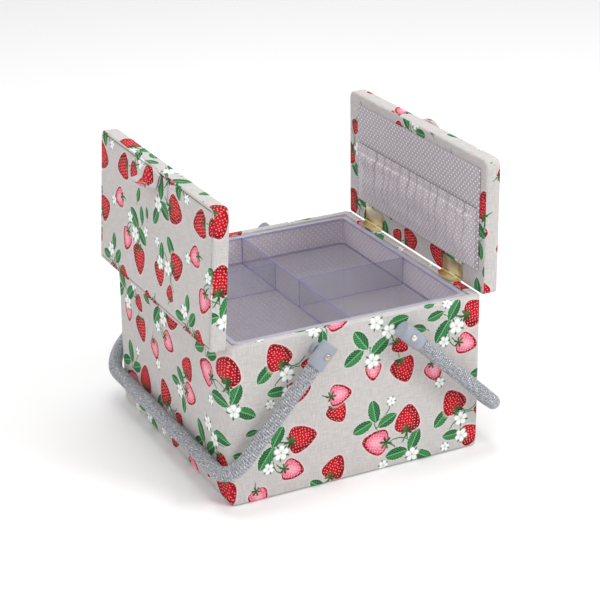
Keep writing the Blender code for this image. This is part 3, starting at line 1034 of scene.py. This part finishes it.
def build_card(name):
    """The dotted card on the lid's inner face, with cloth turned over its edges."""
    front, back, start, stop = CARD
    half_s, half_t = (back - front) / 2, (stop - start) / 2
    half_w = 0.0006
    vertices, faces, _ = slab(half_s, half_t, half_w, lambda t: 0.0016, 0.0005, 0.012)
    middle_y, middle_u = (front + back) / 2, (start + stop) / 2
    face = (CARD_FACE + HINGE_RISE - GAP) / 2
    placed = []
    for s, t, w in vertices:
        if w > half_w - 0.0002:
            w += soft((s, t, SIDES[name]), 40, 0.00012)
        placed.append((s, t, w))
    world = [lid_point(name, face - w, middle_y + s, middle_u + t) for s, t, w in placed]
    uvs = per_corner([(middle_y + s, middle_u + t) for s, t, _ in placed], faces)
    card = make_piece(f"{name}_lid_card", f"{name}_lid", DOTTED, world, faces,
                      uvs, smooth=40)
    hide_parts(f"{name}_lid_lining")


def pleat(y, phase):
    """Uneven gathers, from 0 in a sharp crease to 1 on a bump."""
    warp = noise.noise(Vector((y * 38, phase, 0.3))) * 2.2
    wide = abs(math.sin(y * math.pi / 0.0155 + warp + phase)) ** 0.6
    small = abs(math.sin(y * math.pi / 0.0068 + warp * 2.3 + phase * 1.7)) ** 0.7
    return 0.66 * wide + 0.34 * small


def pocket_lift(name, y, u, low, high, hem):
    """How far the pocket's cloth stands off the card."""
    below = high - hem - u
    drift = 0.0030 * noise.noise(Vector((y * 45, u * 60, SIDES[name])))
    fold = pleat(y + drift, SIDES[name] * 1.3)
    uneven = noise.noise(Vector((y * 30, u * 48, 5.0 + SIDES[name])))
    if below < 0:
        mouth = (high - u) / hem
        lift = 0.0009 + 0.0006 * fold * math.sin(math.pi * mouth) - 0.0004 * mouth
    else:
        depth = 0.0026 * (1 - math.exp(-below / 0.0016)) * math.exp(-below / 0.024) + 0.0004
        strength = 0.55 + 0.9 * max(uneven + 0.25, 0.0)
        sag = 0.0014 * math.sin(math.pi * min(below / (high - hem - low), 1.0))
        lift = 0.0005 + sag + 1.5 * depth * strength * fold + 0.0011 * uneven
    return lift, fold


def build_pocket(name):
    """A gathered cloth pocket: fine gathers at its elastic hem, deeper puckers below it."""
    front, back = CARD[0] + POCKET_INSET, CARD[1] - POCKET_INSET
    low, high = CARD[2] + GAP, CARD[2] + POCKET_HEIGHT
    columns, rows, hem = 300, 60, HEM_HEIGHT
    vertices, uvs, creases = [], [], []
    for r in range(rows):
        u = low + (high - low) * r / (rows - 1)
        below = max(high - hem - u, 0.0)
        for c in range(columns):
            y = front + (back - front) * c / (columns - 1)
            edge = max(min(1.0, (y - front) / 0.012, (back - y) / 0.012, (u - low) / 0.014), 0.0)
            lift, fold = pocket_lift(name, y, u, low, high, hem)
            lift = max(0.00035, 0.0004 + (lift - 0.0004) * edge)
            vertices.append(lid_point(name, CARD_FACE - lift, y, u))
            uvs.append((y * 1.12 + 0.0014 * fold, u + 0.002))
            # painted shade: strongest in the valleys of the gathers, fading away from the hem
            creases.append(edge * 0.85 * max(1 - 1.5 * fold, 0.0) * math.exp(-below / 0.032))
    faces = grid(columns, rows)
    if SIDES[name] < 0:
        faces = [list(reversed(f)) for f in faces]
    pocket = make_piece(f"{name}_pocket_cloth", f"{name}_lid", POCKET_LOOK,
                        vertices, faces, per_corner(uvs, faces), closed=False,
                        smooth=0)
    add_creases(pocket, creases)
    thicken(pocket, 0.0003)
    line = []
    for c in range(61):
        y = front + (back - front) * c / 60
        edge = max(min(1.0, (y - front) / 0.012, (back - y) / 0.012), 0.0)
        lift = 0.0004 + (pocket_lift(name, y, high, low, high, hem)[0] - 0.0004) * edge
        line.append(lid_point(name, CARD_FACE - lift, y, high + 0.0002))
    vertices, faces = tube(line, 0.00055, 8)
    binding = make_piece(f"{name}_pocket_hem", f"{name}_lid", HEM, vertices, faces)
    for piece in (pocket, binding):  # each gets a mesh of its own
        lid_point(name, 0, 0, 0) - lid_point(name, 1, 0, 0)
        lid_point(name, CARD_FACE - 0.0002, 0, CARD[2])
        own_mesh(piece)
    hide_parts(f"{name}_lid_pocket")


def tube(line, radius, steps):
    """A thin tube along points that run mostly front to back."""
    vertices = []
    for point in line:
        for i in range(steps):
            angle = 2 * math.pi * i / steps
            vertices.append(point + Vector((math.cos(angle), 0, math.sin(angle))) * radius)
    return vertices, tube_faces(len(line), steps)


def build_tab(name):
    """A strip of cloth folded in half, sewn in under the free edge and drooping outward."""
    outer = HINGE_RISE + LID_THICKNESS + 0.0011
    columns, rows = 21, 33
    vertices, uvs = [], []
    for r in range(rows):
        share = r / (rows - 1)
        leg = 1 - abs(2 * share - 1)  # 0 at both sewn ends, 1 at the fold
        for c in range(columns):
            across = 2 * c / (columns - 1) - 1  # -1 at the front edge, 1 at the back
            y = across * TAB_WIDTH / 2 * (1 + 0.05 * leg)
            lean = 0.5 + 0.5 * across
            reach = TAB_LENGTH * leg * (0.56 + 0.44 * lean)
            curl = 0.0024 * math.cos(math.pi * across) * leg
            angle = math.radians(16 + (14 + 34 * lean) * leg)
            v = outer + reach * math.sin(angle) * 0.72 + curl * 0.5 + 0.0010 * leg + 0.0004
            u = LID_LENGTH - 0.0030 - reach * math.cos(angle)
            stand = 0.0075 * math.sin(math.pi * min(leg / 0.5, 1.0))  # before it droops
            u += stand * (1 - 0.7 * across ** 2)
            gap = 0.0008 * math.sin(math.pi * min(leg * 1.05, 1.0)) + 0.0003
            way = -1 if share > 0.5 else 1
            uneven = soft((y, share, SIDES[name]), 60, 0.0006) * leg
            vertices.append(lid_point(name, v + way * gap + uneven, y, u + way * gap * 0.4))
            uvs.append((y + 0.108, 0.058 + share * TAB_LENGTH * 2))
    faces = grid(columns, rows)
    tab = make_piece(f"{name}_tab_cloth", f"{name}_lid", PRINT, vertices, faces,
                     per_corner(uvs, faces), closed=False, smooth=0)
    thicken(tab, 0.0006)
    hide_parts(f"{name}_lid_tab")


# ---- hinges ----
def plate(place, outline, low, high, edge=0.00018):
    """A flat plate with softened edges: outline of (across, reach), between two heights."""
    middle = Vector((sum(p[0] for p in outline), sum(p[1] for p in outline))) / len(outline)

    def ring(height, inset):
        points = []
        for across, reach in outline:
            point = Vector((across, reach))
            point -= (point - middle).normalized() * inset
            points.append(place(point.x, point.y, height))
        return points

    rings = [ring(low, edge), ring(low + edge, 0), ring(high - edge, 0), ring(high, edge)]
    return [p for r in rings for p in r], tube_faces(len(rings), len(outline))


def build_leaf(name, end, on_lid):
    """One leaf of a hinge, with its knuckles and rivet heads."""
    side = SIDES[name]
    low = ENDS[end] * HINGE_Y - HINGE_LENGTH / 2
    third = HINGE_LENGTH / 3
    near, far = HINGE_RISE - GAP - LEAF_THICK, HINGE_RISE - GAP

    def place(across, reach, height):
        if on_lid:
            return lid_point(name, height, across, reach)
        return Vector((side * (HALF - reach), across, AXIS_Z - height))

    middle, half = ENDS[end] * HINGE_Y, HINGE_LENGTH / 2
    if on_lid:
        outline = [(middle - half, 0.0022)]
        for centre, start in ((-1, 180), (1, 90)):
            outline += [(middle + centre * (half - 0.0018) + 0.0018 * math.cos(math.radians(a)),
                         0.0137 + 0.0018 * math.sin(math.radians(a)))
                        for a in range(start, start - 91, -18)]
        outline.append((middle + half, 0.0022))
        rivets = [(middle - 0.0115, 0.0082), (middle, 0.0112), (middle + 0.0115, 0.0082)]
    else:
        outline = []
        for a in range(180, -1, -9):
            c, s = math.cos(math.radians(a)), math.sin(math.radians(a))
            outline.append((middle + math.copysign(abs(c) ** 0.75, c) * half,
                            0.0022 + 0.0072 * abs(s) ** 0.85))
        rivets = [(middle - 0.0105, 0.0052), (middle, 0.0066), (middle + 0.0105, 0.0052)]
    parts = [plate(place, outline, near, far)]
    for k in range(3):
        if (k == 1) == on_lid:
            start, stop = low + k * third + 0.0002, low + (k + 1) * third - 0.0002
            neck = [(start, 0.0), (start, 0.0026), (stop, 0.0026), (stop, 0.0)]
            parts.append(plate(place, neck, near + 0.00005, far - 0.00005, 0.0001))
            run = stop - start
            profile = [(0, 0.0010), (0, 0.0014), (0.0002, KNUCKLE_RADIUS),
                       (run - 0.0002, KNUCKLE_RADIUS), (run, 0.0014), (run, 0.0010)]
            axis = place(start, 0.0, 0.0)
            parts.append(lathe(profile, axis, (0, 1, 0), 20))
    lift = lid_point(name, -1, 0, 0) - lid_point(name, 0, 0, 0) if on_lid else Vector((0, 0, 1))
    for across, reach in rivets:
        dome = [(-0.0002, 0.0017), (0.00004, 0.0017), (0.00012, 0.0013), (0.00016, 0.0007),
                (0.00017, 0.0002)]
        parts.append(lathe(dome, place(across, reach, near), lift, 18))
    kind = "lid" if on_lid else "rim"
    vertices, faces = merge(parts)
    body = f"{name}_lid" if on_lid else "box"
    piece = make_piece(f"{name}_{end}_{kind}_plate", body, BRASS, vertices, faces,
                       smooth=30)
    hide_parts(f"{name}_{end}_{kind}_leaf")


# ---- handles ----
def handle_line(name):
    """The winding's centre line as evenly spaced (place, direction) pairs."""
    pivot = Vector((SIDES[name] * PIVOT_X, 0, PIVOT_Z))
    bar = Vector((SIDES[name] * BAR_X, 0, BAR_Z))
    along = (bar - pivot).normalized()
    along.rotate(Matrix.Rotation(-SIDES[name] * RAISE[name], 3, "Y"))
    length = (bar - pivot).length
    points = [pivot + along * 0.0056 + Vector((0, -CAP_Y, 0))]
    steps = 24
    for i in range(steps + 1):
        angle = math.pi / 2 * i / steps
        points.append(pivot + along * (length - BAIL_BEND + BAIL_BEND * math.sin(angle))
                      + Vector((0, BAIL_BEND * (1 - math.cos(angle)) - CAP_Y, 0)))
    points += [Vector((p.x, -p.y, p.z)) for p in reversed(points)]
    return points, along


def build_cord(name):
    """The cord wound round a handle's bail."""
    points, along = handle_line(name)
    total = sum((b - a).length for a, b in zip(points, points[1:]))
    pitch = CORD_PITCH_MM * MM
    per_turn, around = 8, 28
    wraps = round(total / pitch)
    count = wraps * per_turn
    rings, travelled, leg = [], 0.0, 0
    for k in range(count + 1):
        target = min(total * k / count, total - 1e-9)
        while travelled + (points[leg + 1] - points[leg]).length < target:
            travelled += (points[leg + 1] - points[leg]).length
            leg += 1
        line = points[leg + 1] - points[leg]
        share = (target - travelled) / line.length
        rings.append((points[leg] + line * share, target))
    flat = along.cross(Vector((0, 1, 0))).normalized()  # square to the handle's plane
    vertices, uvs = [], []
    for k, (place, run) in enumerate(rings):
        low, high = max(k - 6, 0), min(k + 6, count)
        direction = (rings[high][0] - rings[low][0]).normalized()
        across = direction.cross(flat).normalized()
        for i in range(around):
            angle = 2 * math.pi * i / around
            phase = run / pitch + i / around
            wrap = abs(2 * (phase % 1.0) - 1)  # 0 on a wrap's crest, 1 in the groove
            radius = BAIL_RADIUS + 0.0002 - 0.0012 * (1 - math.sqrt(1 - (wrap * 0.95) ** 2))
            radius += soft((place.x + i, place.y, place.z), 300, 0.00012)
            spoke = flat * math.cos(angle) + across * math.sin(angle)
            vertices.append(place + spoke * radius)
            uvs.append((BAIL_RADIUS * angle, run + pitch * i / around))
    faces = tube_faces(count + 1, around)
    corners = per_corner(uvs, faces)
    for k in range(count):  # the last face of each band closes the turn
        for corner, ring in ((1, k), (2, k + 1)):
            seam = (BAIL_RADIUS * 2 * math.pi, rings[ring][1] + pitch)
            corners[(k + 1) * around - 1][corner] = seam
    corners[-2:] = [[(0, 0)] * around] * 2
    cord = make_piece(f"{name}_handle_winding", f"{name}_handle", CORD_LOOK, vertices,
                      faces, corners, smooth=0)
    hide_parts(f"{name}_handle_bail")


def build_caps(name):
    """A handle's two end caps and the bolt heads that hold them."""
    _, along = handle_line(name)
    for end, way in ENDS.items():
        middle = Vector((SIDES[name] * PIVOT_X, way * CAP_Y, PIVOT_Z))
        radius = CAP_RADIUS
        profile = [(-0.0108, 0.002), (-0.0109, 0.0055), (-0.0110, radius - 0.0009),
                   (-0.0108, radius - 0.0004), (-0.0105, radius - 0.0001), (-0.0099, radius),
                   (-0.003, radius), (0.004, radius), (0.0132, radius), (0.0137, radius - 0.0002),
                   (0.0140, radius - 0.0005), (0.0140, 0.0074), (0.0136, 0.0072), (0.006, 0.0072)]
        vertices, faces = lathe(profile, middle, along, 48)
        cap = make_piece(f"{name}_{end}_cap_shell", f"{name}_handle", CAP_LOOK,
                         vertices, faces, smooth=40)
        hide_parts(f"{name}_handle_{end}_cap")
        head = CAP_Y + radius + GAP
        dome = [(HALF - 0.006, 0.0020), (head - 0.0002, 0.0020), (head - 0.0002, 0.0028),
                (head + 0.0002, 0.0030), (head + 0.0007, 0.0028), (head + 0.0011, 0.0022),
                (head + 0.0014, 0.0013), (head + 0.0015, 0.0004)]
        start = Vector((SIDES[name] * PIVOT_X, 0, PIVOT_Z))
        vertices, faces = lathe(dome, start, (0, way, 0), 32)
        rivet = make_piece(f"{name}_{end}_rivet", "box", STEEL, vertices, faces,
                           smooth=40)
        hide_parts(f"{name}_{end}_pivot_bolt")


# ---- stage ----
def build_stage():
    """The floor, the white surround and three lamps."""
    bpy.ops.mesh.primitive_plane_add(size=12, location=(0, 0, -0.0005))
    floor = bpy.context.object
    floor.name = "floor"
    floor.data.materials.append(stage_look())
    floor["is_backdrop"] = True
    world = bpy.data.worlds.new("studio")
    bpy.context.scene.world = world
    world.use_nodes = True
    world.node_tree.nodes["Background"].inputs[0].default_value = (1.0, 1.0, 1.0, 1.0)
    world.node_tree.nodes["Background"].inputs[1].default_value = 0.66
    for name, place, size, power in (("key", (1.2, -1.6, 1.7), 0.9, 27.0),
                                     ("fill", (-1.9, -0.7, 1.2), 1.6, 7.5),
                                     ("top", (0.0, 0.3, 2.2), 1.4, 19.0)):
        light = bpy.data.lights.new(name, "AREA")
        light.energy, light.size = power, size
        lamp = bpy.data.objects.new(name, light)
        bpy.context.scene.collection.objects.link(lamp)
        lamp.location = place
        aim = Vector((0, 0, 0.12)) - Vector(place)
        lamp.rotation_euler = aim.to_track_quat("-Z", "Y").to_euler()
    bpy.context.scene.view_settings.view_transform = "Standard"


def build_camera():
    """The camera fitted to the edges of the box in the photo."""
    camera = bpy.data.cameras.new("camera")
    camera.sensor_width, camera.lens = 36.0, 111.2
    camera.clip_start, camera.clip_end = 0.05, 50.0
    holder = bpy.data.objects.new("camera", camera)
    bpy.context.scene.collection.objects.link(holder)
    azimuth, elevation, roll = math.radians(-26.69), math.radians(22.96), math.radians(-0.723)
    back = Vector((math.sin(azimuth) * math.cos(elevation),
                   -math.cos(azimuth) * math.cos(elevation), math.sin(elevation)))
    right = (-back).cross(Vector((0, 0, 1))).normalized()
    up = right.cross(-back)
    turned = math.cos(roll) * right + math.sin(roll) * up
    up = math.cos(roll) * up - math.sin(roll) * right
    place = Matrix((turned, up, back)).transposed().to_4x4()
    place.translation = (-0.7322, -1.4691, 0.8241)
    holder.matrix_world = place
    bpy.context.scene.camera = holder


build_camera()
build_stage()
dress_nodes()
build_body()
build_tray()
for side_name in SIDES:
    build_lid(side_name)
    build_card(side_name)
    build_pocket(side_name)
    build_tab(side_name)
    for end_name in ENDS:
        build_leaf(side_name, end_name, on_lid=False)
        build_leaf(side_name, end_name, on_lid=True)
    build_cord(side_name)
    build_caps(side_name)

sizes = [[list(map(float, corner)) for corner in box] for box in (CAD_BOX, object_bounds())]
